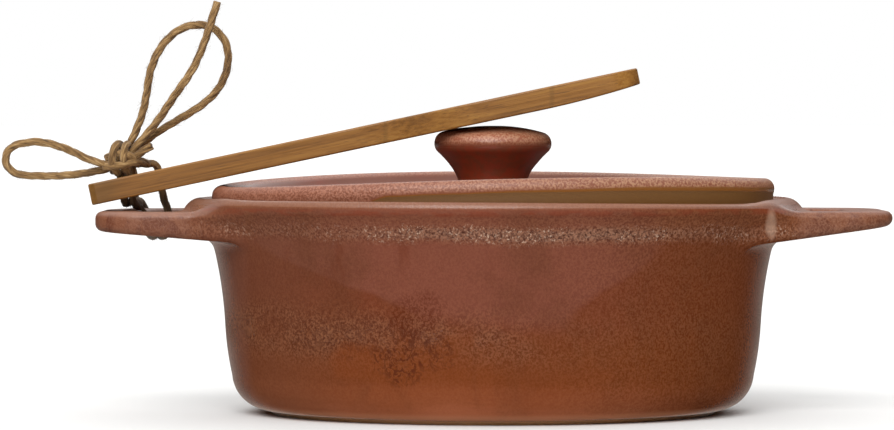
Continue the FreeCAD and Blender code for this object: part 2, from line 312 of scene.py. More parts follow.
def finish_glaze(n, colour, dry, relief):
    """Glossy coat with a faint orange peel, duller where it is dry or speckled."""
    n.feed(n.shader.inputs["Base Color"], colour)
    n.feed(n.shader.inputs["Roughness"], n.range(dry, 0, 1, *GLAZE_ROUGHNESS))
    n.shader.inputs["IOR"].default_value = GLAZE_IOR
    peel = n.bump(n.noise(n.place, 170, 2.0), PEEL_DEPTH, 0.08)
    n.feed(n.shader.inputs["Normal"], n.bump(relief, CRYSTAL_DEPTH, 0.5, peel))


def painted_reflection_arch(n, x, level):
    """Painted reflection of the bright floor in front, in a greyer mauve on the upper front
    wall: narrow low down, wide at the top.
    """
    share = n.range(level, 38 * MM, 68 * MM)
    half = n.math("MULTIPLY_ADD", share, 48 * MM, 28 * MM)
    centre = n.math("MULTIPLY_ADD", share, -14 * MM, -1 * MM)
    away = n.math("ABSOLUTE", n.math("SUBTRACT", x, centre))
    inside = n.range(n.math("SUBTRACT", half, away), -3 * MM, 4 * MM)
    inside = n.times(inside, n.range(level, 33 * MM, 42 * MM))
    return n.most(inside, n.range(x, *LEFT_ROOT, 0.0, 0.8))


def wall_colour(n, x, level):
    """The wall under its crystals: tones by height, a painted reflection in an arch and painted
    shade at both ends.
    """
    base = n.ramp(n.math("DIVIDE", level, WALL_TOP), WALL_TONES)
    # Painted reflection: the arch is tinted mauve.
    base = n.tint(base, MAUVE, painted_reflection_arch(n, x, level), 0.85)
    # Painted shade, darker towards both ends of the wall.
    base = n.tint(base, RIGHT_PAINTED_SHADE, n.range(x, *RIGHT_END), 0.65)
    base = n.tint(base, LEFT_PAINTED_SHADE, n.range(x, *LEFT_END), 0.5)
    cloud = n.range(n.noise(n.mapped((1, 1, 0.7)), 30, 5.0, 0.6, 0.5), 0.45, 0.70)
    return n.tint(base, DARK_BROWN, cloud, 0.4)


def add_bands(n, base, x, z, level, grains):
    """Crystals: a frosted band under the rim, a patchy band low down, few elsewhere."""
    shoulder_level = wandering(n, z, n.noise(n.mapped((1, 1, 0.3)), 30), 7 * MM)
    shoulder = n.times(
        band(n, shoulder_level, *SHOULDER_BAND, 2.4 * MM),
        n.range(x, -70 * MM, -15 * MM, 0.5, 1.2),
        n.range(x, 30 * MM, 85 * MM, 1.0, 0.5),
    )
    clear = blob(n, x, z, *CLEAR_PATCH)
    lower = n.times(
        band(n, level, *LOWER_BAND, 7 * MM),
        n.range(x, 45 * MM, -15 * MM, 0.15, 0.9),
        n.range(n.noise(n.place, 48, 4.0, 0.6), 0.38, 0.60, 0.35, 1.0),
        n.math("MULTIPLY_ADD", clear, -0.8, 1.0),
    )
    upper = n.times(band(n, z, *UPPER_BAND, 2 * MM), 0.3)
    mottled = n.most(shoulder, upper, lower)
    base = n.tint(base, ORANGE_BROWN, clear, 0.7)
    crystals = n.mix(grains, CRYSTAL_GAP, n.mix(shoulder, DULL_TAN, TAN))
    faint = n.range(x, 10 * MM, 50 * MM, 0.13, 0.26)
    base = n.mix(n.math("MULTIPLY_ADD", mottled, 0.60, faint), base, crystals)
    gaps = n.range(n.noise(n.place, 75), 0.42, 0.58, 0.2, 1.0)
    frost = n.times(speckle(n, FROST_GRAIN, 0.56, 0.66), shoulder, gaps)
    return n.tint(base, FROST, frost, 0.9), mottled


def add_stains(n, base, x, y, z, level, grains):
    """Red streaks and runs, the dark cloud, a painted highlight by the right handle, the blotch.
    """
    streak = n.range(n.noise(n.mapped((0.25, 0.25, 1)), 420, 3.0, 0.6), 0.4, 0.6)
    base = n.tint(base, STREAK_RED, n.times(band(n, z, *STREAK_BAND, 0.6 * MM), streak), 0.5)
    runs = n.times(
        n.range(n.noise(n.mapped((1, 1, 0.3)), 60, 3.0, 0.6), 0.52, 0.66),
        band(n, level, *RUN_BAND, 5 * MM),
        n.range(x, 10 * MM, -40 * MM, 0.0, 0.45),
    )
    base = n.mix(runs, base, RUN_RED)
    cloudy = n.times(blob(n, x, z, *DARK_CLOUD), n.range(grains, 0, 1, 0.6, 0.15))
    base = n.mix(cloudy, base, CLOUD_RED)
    # Painted highlight: a pale glint on the crease below the right handle.
    painted_glint = n.times(blob(n, x, z, *ROOT_PAINTED_GLINT), n.range(y, 0, -10 * MM))
    base = n.tint(base, FROST, painted_glint, 0.4)
    worms = n.range(n.noise(n.mapped((1, 1, 0.7)), 480, 3.0, 0.65, 1.2), 0.47, 0.57)
    blotch = n.most(blob(n, x, level, *BLOTCH), n.times(blob(n, x, level, *LESSER_BLOTCH), 0.5))
    front = n.range(y, 10 * MM, -30 * MM, 0.0, 0.8)
    return n.mix(n.times(worms, blotch, front), base, WORM_RED)


def add_handles(n, base, x, z, grains):
    """Mottled salmon handles with pale flecks, and a painted highlight along the left one's
    crest.
    """
    handle = n.range(n.math("ABSOLUTE", x), *HANDLE)
    patches = n.range(n.noise(n.place, 150, 4.0, 0.65, 0.4), 0.44, 0.58)
    flecks = n.times(grains, n.range(x, 0, 1 * MM, 0.3, 0.5))
    salmon = n.mix(flecks, n.mix(patches, SALMON, HANDLE_BROWN), TAN)
    base = n.tint(base, salmon, handle, 0.9)
    # Painted highlight along the top edge of the left handle.
    crest_highlight = n.times(n.range(z, *CREST_HIGHLIGHT_HEIGHTS), n.range(x, *LEFT_CREST_HIGHLIGHT))
    return n.tint(base, CREST_HIGHLIGHT_PINK, crest_highlight, 0.5), handle


def add_lip_and_foot(n, base, x, z, grain):
    """The pale lip, fading at its ends, painted light on the lowest edge against the shadow at
    the foot, and the bare foot.
    """
    lip = n.range(z, *LIP)
    pale = n.mix(n.times(grain, 0.4), LIP_SALMON, TAN)
    ends = n.range(n.math("ABSOLUTE", x), 98 * MM, 106 * MM, 0.85, 0.25)
    base = n.tint(base, pale, lip, ends)
    # Painted light: the lowest edge is lightened against the shadow where the dish meets the
    # floor.
    base = n.mix(n.range(z, *PAINTED_LIGHT_EDGE, 0.0, 0.85), base, PAINTED_LIGHT_PINK)
    foot = n.range(z, *FOOT)
    return n.mix(foot, base, FOOT_CLAY), lip, foot


def dish_glaze():
    material = bpy.data.materials.new("dish_glaze")
    n = Nodes(material)
    x, y, z = n.split(n.place)
    level = wandering(n, z, n.noise(n.mapped((1, 1, 0.4)), 16, 4.0, 0.6), 13 * MM)
    grain = speckle(n, FINE_GRAIN)
    coarse = speckle(n, COARSE_GRAIN, 0.40, 0.56)
    grains = n.math("MULTIPLY_ADD", coarse, 0.3, n.times(grain, 0.7))
    base = wall_colour(n, x, level)
    base, mottled = add_bands(n, base, x, z, level, grains)
    base = add_stains(n, base, x, y, z, level, grains)
    base, handle = add_handles(n, base, x, z, grains)
    base, lip, foot = add_lip_and_foot(n, base, x, z, grain)
    dry = n.math("MULTIPLY_ADD", mottled, 0.5, n.times(handle, 0.7))
    dry = n.most(dry, n.times(lip, 0.6))
    relief = n.times(grains, n.total(dry, 0.25))
    finish_glaze(n, base, n.most(dry, foot), relief)
    return material


def lid_level(n, x, y, z):
    """Height on the lid as if unwarped, raised where the glaze reaches further down."""
    along = n.math("DIVIDE", x, LID_END)
    across = n.math("DIVIDE", y, LID_SIDE)
    rise = n.total(
        n.times(along, LID_TILT),
        n.times(along, along, LID_DROOP),
        n.times(across, LID_FAR_LIFT),
        n.times(across, across, LID_ARCH),
        n.times(along, across, LID_TWIST),
    )
    level = wandering(n, n.math("SUBTRACT", z, rise), n.noise(n.place, 60), 1.0 * MM)
    sag = n.range(along, *LID_SAG_SPAN, 0, LID_SAG)
    creep = n.range(along, *GLAZE_CREEP_SPAN, 0, GLAZE_CREEP)
    return n.total(level, sag, creep)


def lid_top_colour(n, outer):
    """Clouded glaze in the recess, and salmon on the raised rim."""
    cloud = n.noise(n.place, 32, 5.0, 0.65, 0.4)
    base = n.ramp(cloud, [(0.35, MAUVE), (0.55, RED_BROWN), (0.72, DEEP_RED)])
    inner = n.math("MULTIPLY_ADD", outer, -0.6, 0.6)
    base = n.mix(inner, base, RECESS_MAUVE)
    return n.tint(base, RIM_SALMON, outer, 0.85)


def add_knob(n, base, z, radius):
    """Deep red neck, worn in places, under the knob's pale crown."""
    neck = n.times(band(n, z, *KNOB_NECK, 2.5 * MM), n.range(radius, *NECK_REACH))
    worn = n.range(n.noise(n.place, 330, 4.0, 0.6), 0.42, 0.62)
    base = n.tint(base, n.mix(worn, DEEP_RED, NECK_BROWN), neck, 0.9)
    crown = n.range(z, *CROWN)
    return n.mix(crown, base, CROWN_SALMON), neck, crown


def add_bare_edge(n, base, x, z, level, outer):
    """Amber glaze pooled over the bare clay of the seat and the underside."""
    pool = n.math("ADD", LID_GLAZE_LOW + 0.3 * MM, n.range(x, -20 * MM, 80 * MM, 0, 1.1 * MM))
    seam = n.times(n.range(n.math("SUBTRACT", pool, level), -0.4 * MM, 0.3 * MM), outer)
    base = n.tint(base, AMBER, seam, 0.9)
    bare = n.range(level, LID_GLAZE_LOW + 0.1 * MM, LID_GLAZE_LOW - 0.2 * MM)
    bare = n.times(bare, n.most(outer, n.range(z, *UNDERSIDE)))
    clay = n.mix(n.range(x, -60 * MM, 60 * MM), BARE_CLAY, SHADED_CLAY)
    clay = n.tint(clay, DARK_BROWN, n.noise(n.place, 1500, 2.0), 0.5)
    return n.mix(bare, base, clay), bare


def lid_glaze():
    material = bpy.data.materials.new("lid_glaze")
    n = Nodes(material)
    x, y, z = n.split(n.place)
    level = lid_level(n, x, y, z)
    out = n.math("DIVIDE", y, OVAL_RATIO)
    radius = n.math("SQRT", n.total(n.times(x, x), n.times(out, out)))
    outer = n.range(radius, *LID_OUTER)
    base, neck, crown = add_knob(n, lid_top_colour(n, outer), z, radius)
    rim = n.times(n.range(level, *LID_RIM), outer)
    grains = speckle(n, LID_GRAIN, 0.40, 0.60)
    flecks = n.mix(n.range(x, -60 * MM, 70 * MM), PINK, OLIVE_TAN)
    base = n.tint(base, flecks, grains, n.most(n.times(rim, 0.55), crown))
    base, bare = add_bare_edge(n, base, x, z, level, outer)
    speckled = n.most(rim, crown)
    dry = n.most(n.times(n.most(speckled, neck), 0.75), bare)
    finish_glaze(n, base, dry, n.times(speckled, grains))
    return material


# ---------------------------------------------------------------- bamboo and jute

SPATULA_LEAN = math.radians(11.97)

# Where the bamboo's growth rings cross the spatula, and where its heel darkens.
BAMBOO_JOINTS = (-41 * MM, 22 * MM)
JOINT_FADE = (1.4 * MM, 0.3 * MM)
BAMBOO_HEEL = (-138 * MM, -149 * MM)
BAMBOO_TONES = [
    (0.36, (0.155, 0.060, 0.007)),
    (0.50, (0.26, 0.106, 0.012)),
    (0.63, (0.34, 0.156, 0.023)),
]
BAMBOO_PORE = (0.10, 0.038, 0.008)
CUT_BAMBOO = (0.125, 0.055, 0.006)
BAMBOO_DEPTH = 0.12 * MM

# Below these heights the twine is painted darker, as painted shade where it goes round the
# handle.
JUTE_SHADE_SPAN = (90 * MM, 80 * MM)
JUTE_PAINTED_SHADE = (0.040, 0.019, 0.008)
JUTE_TONES = [
    (0.36, (0.042, 0.021, 0.006)),
    (0.46, (0.160, 0.082, 0.024)),
    (0.54, (0.285, 0.160, 0.054)),
    (0.64, (0.46, 0.30, 0.135)),
]
JUTE_SLANT = math.radians(9)
JUTE_DEPTH = 0.35 * MM


def bamboo():
    material = bpy.data.materials.new("bamboo")
    n = Nodes(material)
    blade = n.mapped(rotation=(0, SPATULA_LEAN, 0))
    fibres = n.noise(n.mapped((0.02, 1, 1), place=blade), 1300, 4.0, 0.65)
    bands = n.noise(n.mapped((0.03, 1, 1), place=blade), 230, 3.0, 0.55)
    base = n.ramp(n.total(n.times(fibres, 0.5), n.times(bands, 0.5)), BAMBOO_TONES)
    pores = n.noise(n.mapped((0.05, 1, 1), place=blade), 2600, 1.0)
    base = n.tint(base, BAMBOO_PORE, n.range(pores, 0.60, 0.70), 0.5)
    x = n.split(n.place)[0]
    for joint in BAMBOO_JOINTS:
        away = n.math("ABSOLUTE", n.math("SUBTRACT", x, joint))
        base = n.tint(base, CUT_BAMBOO, n.range(away, *JOINT_FADE), 0.35)
    base = n.mix(n.range(x, *BAMBOO_HEEL, 0.0, 0.55), base, CUT_BAMBOO)
    n.feed(n.shader.inputs["Base Color"], base)
    n.feed(n.shader.inputs["Roughness"], n.range(fibres, 0.3, 0.7, 0.40, 0.60))
    n.feed(n.shader.inputs["Normal"], n.bump(fibres, BAMBOO_DEPTH, 0.5))
    return material


def jute():
    material = bpy.data.materials.new("jute")
    n = Nodes(material)
    twist = n.new("ShaderNodeUVMap", uv_map="twist").outputs[0]
    fibres = n.noise(n.mapped((0.10, 1, 1), (0, 0, JUTE_SLANT), twist), 2600, 3.0, 0.7, 0.3)
    bundles = n.noise(n.mapped((0.14, 1, 1), (0, 0, JUTE_SLANT), twist), 900, 2.0, 0.6)
    tone = n.noise(n.place, 110, 2.0)
    strands = n.total(n.times(tone, 0.20), n.times(bundles, 0.45), n.times(fibres, 0.35))
    base = n.ramp(strands, JUTE_TONES)
    z = n.split(n.place)[2]
    # Painted shade on the twine low down, round the handle.
    base = n.mix(n.range(z, *JUTE_SHADE_SPAN, 0.0, 0.7), base, JUTE_PAINTED_SHADE)
    n.feed(n.shader.inputs["Base Color"], base)
    n.shader.inputs["Roughness"].default_value = 0.85
    n.shader.inputs["Sheen Weight"].default_value = 0.15
    height = n.total(n.times(bundles, 0.6), n.times(fibres, 0.4))
    n.feed(n.shader.inputs["Normal"], n.bump(height, JUTE_DEPTH, 0.8))
    return material


# ---------------------------------------------------------------- twine

PLIES = 3
PLY_OFFSET = 0.44 * MM
PLY_RADIUS = 1.12 * MM
PLY_PITCH = 17 * MM
PLY_SIDES = 12
STEP = 0.6 * MM

# Unevenness of the plies: how much, and over how many steps of the line.
TURN_WAVE = (0.3, 18)
OFFSET_WAVE = (0.10, 9)
RADIUS_WAVE = (0.07, 6)

# Loose fibres: how many per metre, how far out they start, and sizes in millimetres.
HAIRS = 3600
HAIR_ROOT = 1.2 * MM
HAIR_REACH = (0.3, 1.35)
HAIR_RUN = (1.0, 3.4)
HAIR_CURL = 0.7
HAIR_THICK = (0.05, 0.02)
HAIR_POINTS = 5
HAIR_SIDES = 3

# The short end has more of them, and its plies open towards its tip.
STUB_HAIRS = 6000
STUB_FRAY = 1.2

# How far each tube's fibre pattern is shifted from that of the tube before.
PATTERN_SHIFT = 0.13

random = np.random.RandomState(11)

# Control points of each stretch of the twine, in metres.
ROUTES = {
    "twine_loop_left": [
        (-0.1446, -0.0014, 0.0942),
        (-0.1535, -0.0020, 0.0961),
        (-0.1630, -0.0030, 0.1014),
        (-0.1735, -0.0040, 0.1042),
        (-0.1827, -0.0044, 0.1029),
        (-0.1864, -0.0040, 0.0994),
        (-0.1864, -0.0030, 0.0948),
        (-0.1827, -0.0018, 0.0912),
        (-0.1735, -0.0002, 0.0906),
        (-0.1620, 0.0010, 0.0909),
        (-0.1520, 0.0019, 0.0924),
        (-0.1444, 0.0018, 0.0944),
    ],
    "twine_loop_upper": [
        (-0.1416, 0.0012, 0.0986),
        (-0.1362, 0.0016, 0.1086),
        (-0.1328, 0.0010, 0.1203),
        (-0.1316, 0.0004, 0.1312),
        (-0.1268, 0.0000, 0.1414),
        (-0.1188, 0.0002, 0.1482),
        (-0.1088, 0.0008, 0.1489),
        (-0.1024, 0.0018, 0.1432),
        (-0.1010, 0.0026, 0.1345),
        (-0.1042, 0.0032, 0.1250),
        (-0.1109, 0.0034, 0.1182),
        (-0.1222, 0.0030, 0.1114),
        (-0.1314, 0.0022, 0.1059),
        (-0.1380, 0.0008, 0.0998),
    ],
    "twine_long_end": [
        (-0.1394, -0.0016, 0.0986),
        (-0.1337, -0.0027, 0.1052),
        (-0.1275, -0.0032, 0.1126),
        (-0.1217, -0.0042, 0.1215),
        (-0.1154, -0.0052, 0.1300),
        (-0.1110, -0.0056, 0.1390),
        (-0.1080, -0.0058, 0.1482),
        (-0.1052, -0.0056, 0.1572),
    ],
    "twine_lashing_near": [
        (-0.1384, 0.0024, 0.0954),
        (-0.1340, 0.0062, 0.0952),
        (-0.1300, 0.0108, 0.0954),
        (-0.1286, 0.0136, 0.0910),
        (-0.1280, 0.0156, 0.0836),
        (-0.1256, 0.0184, 0.0764),
        (-0.1256, 0.0182, 0.0704),
        (-0.1268, 0.0208, 0.0674),
        (-0.1286, 0.0270, 0.0667),
        (-0.1302, 0.0332, 0.0669),
        (-0.1328, 0.0374, 0.0702),
        (-0.1358, 0.0372, 0.0758),
        (-0.1372, 0.0334, 0.0802),
        (-0.1394, 0.0252, 0.0806),
        (-0.1412, 0.0134, 0.0800),
        (-0.1414, 0.0038, 0.0799),
        (-0.1413, -0.0002, 0.0838),
        (-0.1429, 0.0002, 0.0916),
    ],
    "twine_lashing_far": [
        (-0.1397, -0.0003, 0.0916),
        (-0.1384, -0.0008, 0.0844),
        (-0.1382, 0.0032, 0.0804),
        (-0.1370, 0.0088, 0.0790),
        (-0.1346, 0.0136, 0.0757),
        (-0.1320, 0.0168, 0.0711),
        (-0.1312, 0.0208, 0.0673),
        (-0.1322, 0.0270, 0.0666),
        (-0.1342, 0.0334, 0.0669),
        (-0.1370, 0.0378, 0.0706),
        (-0.1396, 0.0384, 0.0770),
        (-0.1402, 0.0352, 0.0836),
        (-0.1396, 0.0256, 0.0874),
        (-0.1388, 0.0164, 0.0908),
        (-0.1398, 0.0108, 0.0962),
        (-0.1418, 0.0044, 0.0972),
    ],
}
SHORT_END = [(-0.1382, -0.0030, 0.0972), (-0.1348, -0.0042, 0.0998), (-0.1304, -0.0046, 0.1024)]

# The knot's visible turns: two wraps round its waist and two crossing strands.
KNOT_TURNS = [
    [
        (-0.1398, -0.0014, 0.0918),
        (-0.1408, -0.0046, 0.0940),
        (-0.1412, -0.0062, 0.0978),
        (-0.1406, -0.0052, 0.1016),
        (-0.1398, -0.0006, 0.1034),
        (-0.1398, 0.0038, 0.1002),
        (-0.1408, 0.0046, 0.0952),
        (-0.1418, 0.0014, 0.0918),
    ],
    [
        (-0.1434, -0.0012, 0.0916),
        (-0.1452, -0.0042, 0.0938),
        (-0.1456, -0.0054, 0.0982),
        (-0.1444, -0.0044, 0.1024),
        (-0.1428, 0.0000, 0.1034),
        (-0.1424, 0.0040, 0.0998),
        (-0.1444, 0.0046, 0.0950),
        (-0.1456, 0.0010, 0.0922),
    ],
    [
        (-0.1486, -0.0018, 0.0944),
        (-0.1450, -0.0050, 0.0946),
        (-0.1408, -0.0062, 0.0950),
        (-0.1366, -0.0040, 0.0962),
        (-0.1340, 0.0010, 0.0964),
        (-0.1328, 0.0050, 0.0952),
    ],
    [
        (-0.1480, 0.0006, 0.0976),
        (-0.1446, -0.0030, 0.0996),
        (-0.1404, -0.0058, 0.0992),
        (-0.1368, -0.0036, 0.0972),
        (-0.1360, 0.0014, 0.0952),
    ],
]


def travelled(line):
    """Distance travelled along a line at each of its points."""
    steps = np.linalg.norm(np.diff(line, axis=0), axis=1)
    return np.concatenate([[0], np.cumsum(steps)])


def smooth_path(points):
    """The route's NURBS line, read from Blender and spaced evenly."""
    data = bpy.data.curves.new("route", "CURVE")
    data.dimensions = "3D"
    data.resolution_u = 32
    spline = data.splines.new("NURBS")
    spline.points.add(len(points) - 1)
    for control, place in zip(spline.points, points):
        control.co = (*place, 1)
    spline.order_u = 3
    spline.use_endpoint_u = True
    carrier = bpy.data.objects.new("route", data)
    mesh = bpy.data.meshes.new_from_object(carrier)
    line = np.array([vertex.co for vertex in mesh.vertices], float)
    bpy.data.objects.remove(carrier)
    bpy.data.curves.remove(data)
    bpy.data.meshes.remove(mesh)
    travel = travelled(line)
    even = np.linspace(0, travel[-1], max(8, round(travel[-1] / STEP)))
    return np.stack([np.interp(even, travel, line[:, i]) for i in range(3)], axis=1)


def frames_along(line):
    """Unit tangent, side and up at each point, without sudden twists."""
    tangent = np.gradient(line, axis=0)
    tangent /= np.linalg.norm(tangent, axis=1)[:, None]
    side = np.zeros_like(line)
    guess = np.cross(tangent[0], (0.3, 1.0, 0.2))
    for i, t in enumerate(tangent):
        guess = guess - t * guess.dot(t)
        guess /= np.linalg.norm(guess)
        side[i] = guess
    return tangent, side, np.cross(tangent, side)


def add_to_scene(name, mesh):
    """A smooth-shaded object that shows the mesh."""
    mesh.polygons.foreach_set("use_smooth", [True] * len(mesh.polygons))
    mesh.update()
    piece = bpy.data.objects.new(name, mesh)
    bpy.context.scene.collection.objects.link(piece)
    return piece


class Tubes:
    """Collects closed tubes as one mesh, whose UVs run along and round each tube."""

    def __init__(self):
        self.verts = []
        self.faces = []
        self.uvs = []
        self.count = 0

    def add(self, line, radius, sides):
        _, side, up = frames_along(line)
        angles = np.arange(sides) * 2 * math.pi / sides
        ring = side[:, None] * np.cos(angles)[:, None] + up[:, None] * np.sin(angles)[:, None]
        self.verts.append((line[:, None] + ring * radius[:, None, None]).reshape(-1, 3))
        along = travelled(line) + PATTERN_SHIFT * len(self.verts)
        girth = 2 * math.pi * float(radius.mean()) / sides
        for i in range(len(line) - 1):
            for j in range(sides):
                a = self.count + i * sides + j
                b = self.count + i * sides + (j + 1) % sides
                self.faces.append((a, b, b + sides, a + sides))
                low, high = j * girth, (j + 1) * girth
                near, far = along[i], along[i + 1]
                self.uvs += [(near, low), (near, high), (far, high), (far, low)]
        first = [self.count + j for j in range(sides)]
        last = [self.count + (len(line) - 1) * sides + j for j in range(sides)]
        self.faces.append(tuple(reversed(first)))
        self.faces.append(tuple(last))
        self.uvs += [(along[0], 0)] * sides + [(along[-1], 0)] * sides
        self.count += len(line) * sides

    def finish(self, name):
        mesh = bpy.data.meshes.new(name)
        mesh.from_pydata(np.concatenate(self.verts).tolist(), [], self.faces)
        layer = mesh.uv_layers.new(name="twist")
        layer.data.foreach_set("uv", np.array(self.uvs).ravel())
        return add_to_scene(name, mesh)


def wavy(count, amount, period):
    """Smooth seeded noise along a line, from -amount to amount."""
    knots = random.uniform(-1, 1, max(4, int(count / period) + 3))
    places = np.linspace(0, len(knots) - 1, count)
    return amount * np.interp(places, np.arange(len(knots)), knots)


def add_hairs(tubes, line, per_metre):
    """Loose fibres that stand off the twine and curl back."""
    tangent, side, up = frames_along(line)
    t = np.linspace(0, 1, HAIR_POINTS)[:, None]
    thickness = np.linspace(*HAIR_THICK, HAIR_POINTS) * MM
    for _ in range(int(per_metre * len(line) * STEP)):
        i = random.randint(1, len(line) - 1)
        angle = random.uniform(0, 2 * math.pi)
        out = side[i] * math.cos(angle) + up[i] * math.sin(angle)
        swirl = np.cross(tangent[i], out)
        way = tangent[i] * random.choice([-1, 1])
        reach = random.uniform(*HAIR_REACH) ** 2 * MM
        run = random.uniform(*HAIR_RUN) * MM
        curl = np.sin(t * random.uniform(1.0, 3.0)) * random.uniform(-HAIR_CURL, HAIR_CURL) * MM
        hair = line[i] + out * (HAIR_ROOT + reach * t**1.4) + way * run * t + swirl * curl
        tubes.add(hair, thickness, HAIR_SIDES)


def strand_mesh(name, lines, hairs=HAIRS, fray=0.0):
    """Three-ply twine along each line, as one mesh. Fray opens the plies at the end."""
    tubes = Tubes()
    for line in lines:
        _, side, up = frames_along(line)
        share = np.linspace(0, 1, len(line))
        open_up = 1 + fray * share**2
        travel = np.arange(len(line)) * STEP
        turn = travel / PLY_PITCH * 2 * math.pi + wavy(len(line), *TURN_WAVE)
        for ply in range(PLIES):
            swing = (turn + ply * 2 * math.pi / PLIES)[:, None]
            around = side * np.cos(swing) + up * np.sin(swing)
            offset = PLY_OFFSET * (1 + wavy(len(line), *OFFSET_WAVE)) * open_up
            radius = PLY_RADIUS * (1 + wavy(len(line), *RADIUS_WAVE)) / open_up**0.4
            tubes.add(line + around * offset[:, None], radius, PLY_SIDES)
        add_hairs(tubes, line, hairs)
    return tubes.finish(name)


def make_twine(material):
    lines = {name: smooth_path(points) for name, points in ROUTES.items()}
    knot = strand_mesh("bow_knot", [smooth_path(turn) for turn in KNOT_TURNS])
    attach(knot, "spatula_and_bow")
    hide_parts("twine_knot")
    stub = strand_mesh("bow_short_end", [smooth_path(SHORT_END)], STUB_HAIRS, STUB_FRAY)
    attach(stub, "spatula_and_bow")
    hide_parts("twine_short_end")
    pieces = [knot, stub]
    for name, line in lines.items():
        piece = strand_mesh(name.replace("twine", "jute"), [line])
        if "lashing" in name:
            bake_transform(piece)
        else:
            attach(piece, "spatula_and_bow")
        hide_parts(name)
        pieces.append(piece)
    for piece in pieces:
        piece.data.materials.append(material)


# ---------------------------------------------------------------- clay forms

# The dish and the lid are fields of signed distance, in millimetres, made into meshes.
OVAL_RATIO = 0.755
VOXEL = 0.75
FAR_OUTSIDE = 3.0
ARC_STEPS = 10
PROFILE_BOX = ((-2.0, -6.0), (160.0, 130.0))
PROFILE_STEP = 0.25
PLAN_BOX = ((60.0, -60.0), (170.0, 60.0))
PLAN_STEP = 0.5


def arc(start, middle, end):
    """Points along the arc through three places, without its start."""
    a, b, c = (complex(*p) for p in (start, middle, end))
    w = (c - a) / (b - a)
    if abs(w.imag) < 1e-9:
        return [end]
    centre = (b - a) * (w - abs(w) ** 2) / (2j * w.imag) + a
    radius = abs(a - centre)
    first = np.angle(a - centre)
    sweep_b = (np.angle(b - centre) - first) % (2 * math.pi)
    sweep_c = (np.angle(c - centre) - first) % (2 * math.pi)
    if sweep_b > sweep_c:
        sweep_c -= 2 * math.pi
    angles = first + sweep_c * np.linspace(0, 1, ARC_STEPS + 1)[1:]
    return [
        (centre.real + radius * math.cos(t), centre.imag + radius * math.sin(t))
        for t in angles
    ]


def outline(start, *steps):
    """Closed polygon: a step is a point, or an arc's middle and end."""
    points = [start]
    for step in steps:
        if len(step) == 4:
            points += arc(points[-1], step[:2], step[2:])
        else:
            points.append(step)
    return np.array(points, float)


def polygon_field(polygon, low, high, step):
    """Signed distances to a polygon on an even grid: negative inside."""
    u = np.arange(low[0], high[0] + step, step)
    v = np.arange(low[1], high[1] + step, step)
    pu, pv = np.meshgrid(u, v, indexing="ij")
    best = np.full(pu.shape, 1e9)
    inside = np.zeros(pu.shape, bool)
    for (ax, ay), (bx, by) in zip(polygon, np.roll(polygon, -1, axis=0)):
        ex, ey = bx - ax, by - ay
        length = ex * ex + ey * ey
        if length < 1e-12:
            continue
        t = np.clip(((pu - ax) * ex + (pv - ay) * ey) / length, 0, 1)
        best = np.minimum(best, (pu - ax - t * ex) ** 2 + (pv - ay - t * ey) ** 2)
        if ay != by:
            inside ^= ((ay > pv) != (by > pv)) & (pu < ex * (pv - ay) / ey + ax)
    return np.where(inside, -1, 1) * np.sqrt(best), low, step


def look_up(table, u, v):
    """Values of a field at any places, blended between grid points."""
    field, low, step = table
    fu = np.clip((u - low[0]) / step, 0, field.shape[0] - 1.001)
    fv = np.clip((v - low[1]) / step, 0, field.shape[1] - 1.001)
    iu, iv = fu.astype(np.int32), fv.astype(np.int32)
    du, dv = fu - iu, fv - iv
    near = field[iu, iv] * (1 - du) + field[iu + 1, iv] * du
    far = field[iu, iv + 1] * (1 - du) + field[iu + 1, iv + 1] * du
    return near * (1 - dv) + far * dv


def turned_field(profile, x, y, z, ratio=OVAL_RATIO):
    """Field of a profile turned round the Z axis and narrowed across."""
    table = polygon_field(profile, *PROFILE_BOX, PROFILE_STEP)
    return look_up(table, np.sqrt(x * x + (y / ratio) ** 2), z)


def soft_union(a, b, width):
    """Union of two fields with a fillet where they meet."""
    overlap = np.maximum(width - np.abs(a - b), 0) / width
    return np.minimum(a, b) - overlap * overlap * width / 4


def grid(low, high):
    """Places of every voxel in a box, in millimetres, as open axes."""
    x, y, z = (np.arange(a, b, VOXEL, dtype=np.float32) for a, b in zip(low, high))
    return x[:, None, None], y[None, :, None], z[None, None, :]


def field_mesh(name, field, low, rise):
    """Smooth closed mesh of a field's zero surface, lifted by rise(x, y, z), in metres."""
    volume = openvdb.FloatGrid(FAR_OUTSIDE)
    volume.copyFromArray(np.ascontiguousarray(field, np.float32))
    points, quads = volume.convertToQuads(isovalue=0)
    points = (points * VOXEL + np.array(low)) * MM
    points[:, 2] += rise(*points.T)
    mesh = bpy.data.meshes.new(name)
    mesh.from_pydata(points.tolist(), [], [tuple(q)[::-1] for q in quads.tolist()])
    return add_to_scene(name, mesh)


def smooth_step(value, low, high):
    t = np.clip((value - low) / (high - low), 0, 1)
    return t * t * (3 - 2 * t)


# ---------------------------------------------------------------- dish

DISH_BOX = ((-158.0, -92.0, -3.0), (159.0, 92.0, 86.0))

# Profiles hold ways out along the oval and heights. Four numbers are an arc's middle and end.
DISH_OUTSIDE = [
    (0.0, 1.2),
    (76.0, 1.2),
    (77.0, 0.0),
    (85.0, 0.0),
    (85.0, 1.2),
    (86.6, 1.5),
    (95.8, 5.6, 100.0, 14.8),
    (101.65, 24.0, 102.6, 34.0),
    (103.95, 48.0, 107.5, 66.0),
    (110.0, 71.6, 113.4, 76.2),
    (115.0, 79.1, 112.2, 81.6),
    (0.0, 81.6),
]
DISH_CAVITY = [
    (0.0, 7.0),
    (81.0, 7.0),
    (91.0, 11.2, 95.0, 21.0),
    (98.2, 46.0, 102.6, 75.4),
    (103.0, 76.5, 104.2, 77.0),
    (108.6, 77.0),
    (108.6, 79.0),
    (109.4, 80.8, 112.2, 81.6),
    (112.2, 100.0),
    (0.0, 100.0),
]

